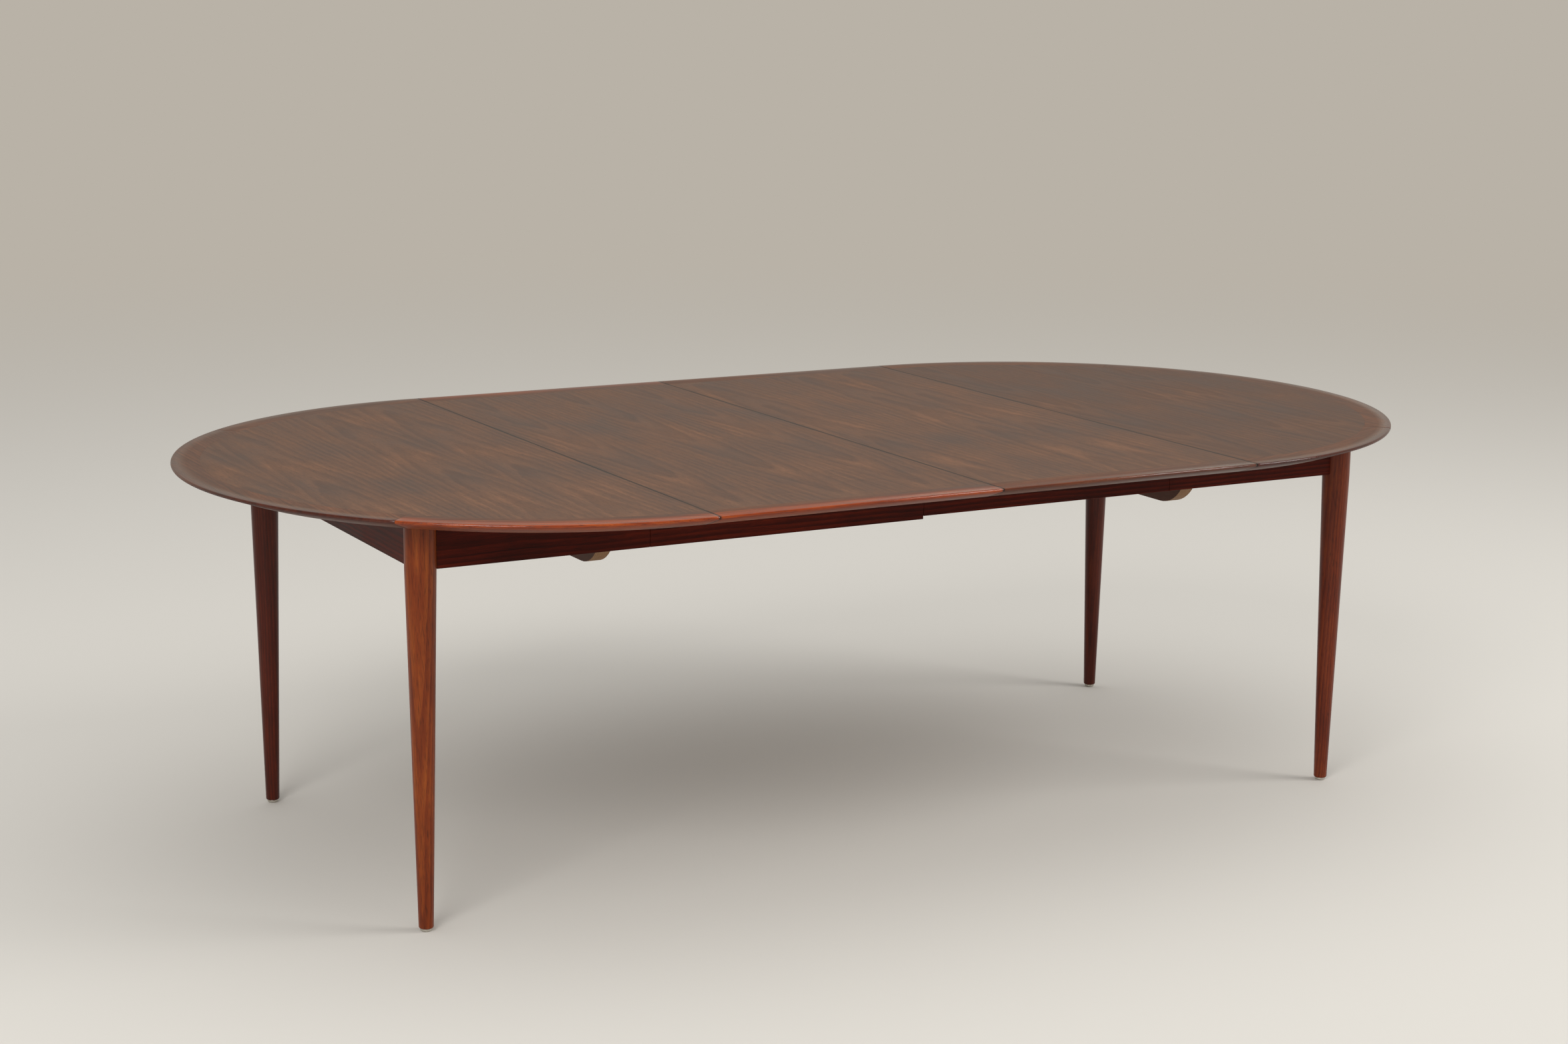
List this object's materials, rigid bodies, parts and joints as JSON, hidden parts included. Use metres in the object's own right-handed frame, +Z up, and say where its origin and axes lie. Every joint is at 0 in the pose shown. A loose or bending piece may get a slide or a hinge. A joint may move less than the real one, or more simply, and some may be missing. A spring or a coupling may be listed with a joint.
{
  "type": "extending dining table",
  "caption": "Round wooden dining table on tapered round legs, pulled apart on wooden slides and extended with lift-out leaves between its half-round ends.",
  "frame": {"origin": "on the floor, under the middle of the table with both leaves in", "axes": "+X along the table from the left half to the right half, +Y across it from the near side to the far side, +Z up"},
  "size_m": [2.4088, 1.316, 0.71],
  "materials": {
    "teak_veneer": "oiled teak veneer, grain across the table",
    "teak_lipping": "oiled solid teak",
    "teak_solid": "oiled solid teak, satin",
    "backing_veneer": "plain backing veneer, unfinished",
    "blockboard": "raw board edge",
    "beech": "planed, unfinished",
    "nickel": "nickel plated, polished",
    "zinc_steel": "zinc plated",
    "yellow_steel": "yellow zinc plated"
  },
  "bodies": {
    "left_half": {"left_top_core": "blockboard", "left_top_veneer": "teak_veneer", "left_backing_veneer": "backing_veneer", "left_lipping_near": "teak_lipping", "left_lipping_end": "teak_lipping", "left_lipping_far": "teak_lipping", "left_leg_near": "teak_solid", "left_apron_near": "teak_solid", "left_leg_far": "teak_solid", "left_apron_far": "teak_solid", "left_end_rail": "teak_solid", "left_foot_glides": "nickel", "left_corner_blocks": "beech", "left_leg_bolts": "zinc_steel", "left_glue_blocks": "beech", "left_outer_runner": "beech", "left_inner_runner": "beech", "left_cross_bar": "beech", "left_slide_screws": "yellow_steel", "left_edge_pins": "beech"},
    "right_half": {"right_top_core": "blockboard", "right_top_veneer": "teak_veneer", "right_backing_veneer": "backing_veneer", "right_lipping_near": "teak_lipping", "right_lipping_end": "teak_lipping", "right_lipping_far": "teak_lipping", "right_leg_near": "teak_solid", "right_apron_near": "teak_solid", "right_leg_far": "teak_solid", "right_apron_far": "teak_solid", "right_end_rail": "teak_solid", "right_foot_glides": "nickel", "right_corner_blocks": "beech", "right_leg_bolts": "zinc_steel", "right_glue_blocks": "beech", "right_outer_runner": "beech", "right_inner_runner": "beech", "right_cross_bar": "beech", "right_slide_screws": "yellow_steel", "right_edge_pins": "beech"},
    "slide_carriage": {"middle_runner_near": "beech", "middle_runner_far": "beech", "middle_tie": "beech", "tie_screws": "yellow_steel", "stop_pins": "zinc_steel"},
    "leaf_1": {"leaf_1_core": "blockboard", "leaf_1_veneer": "teak_veneer", "leaf_1_backing": "backing_veneer", "leaf_1_lippings": "teak_lipping", "leaf_1_glue_blocks": "beech", "leaf_1_skirt_near": "teak_solid", "leaf_1_skirt_far": "teak_solid", "leaf_1_pins": "beech"},
    "leaf_2": {"leaf_2_core": "blockboard", "leaf_2_veneer": "teak_veneer", "leaf_2_backing": "backing_veneer", "leaf_2_lippings": "teak_lipping", "leaf_2_glue_blocks": "beech", "leaf_2_skirt_near": "teak_solid", "leaf_2_skirt_far": "teak_solid"}
  },
  "joints": [
    {"name": "extension", "type": "slide", "parent": "left_half", "child": "right_half", "axis": [1, 0, 0], "range_m": [0, 0.05]},
    {"name": "carriage_slide", "type": "slide", "parent": "left_half", "child": "slide_carriage", "axis": [1, 0, 0], "range_m": [0, 0.025]},
    {"name": "leaf_1_lift", "type": "slide", "parent": "left_half", "child": "leaf_1", "axis": [0, 0, 1], "range_m": [0, 0.25]},
    {"name": "leaf_2_lift", "type": "slide", "parent": "leaf_1", "child": "leaf_2", "axis": [0, 0, 1], "range_m": [0, 0.25]}
  ],
  "couplings": [
    {"joint": "carriage_slide", "follows": "extension", "ratio": 0.5}
  ]
}
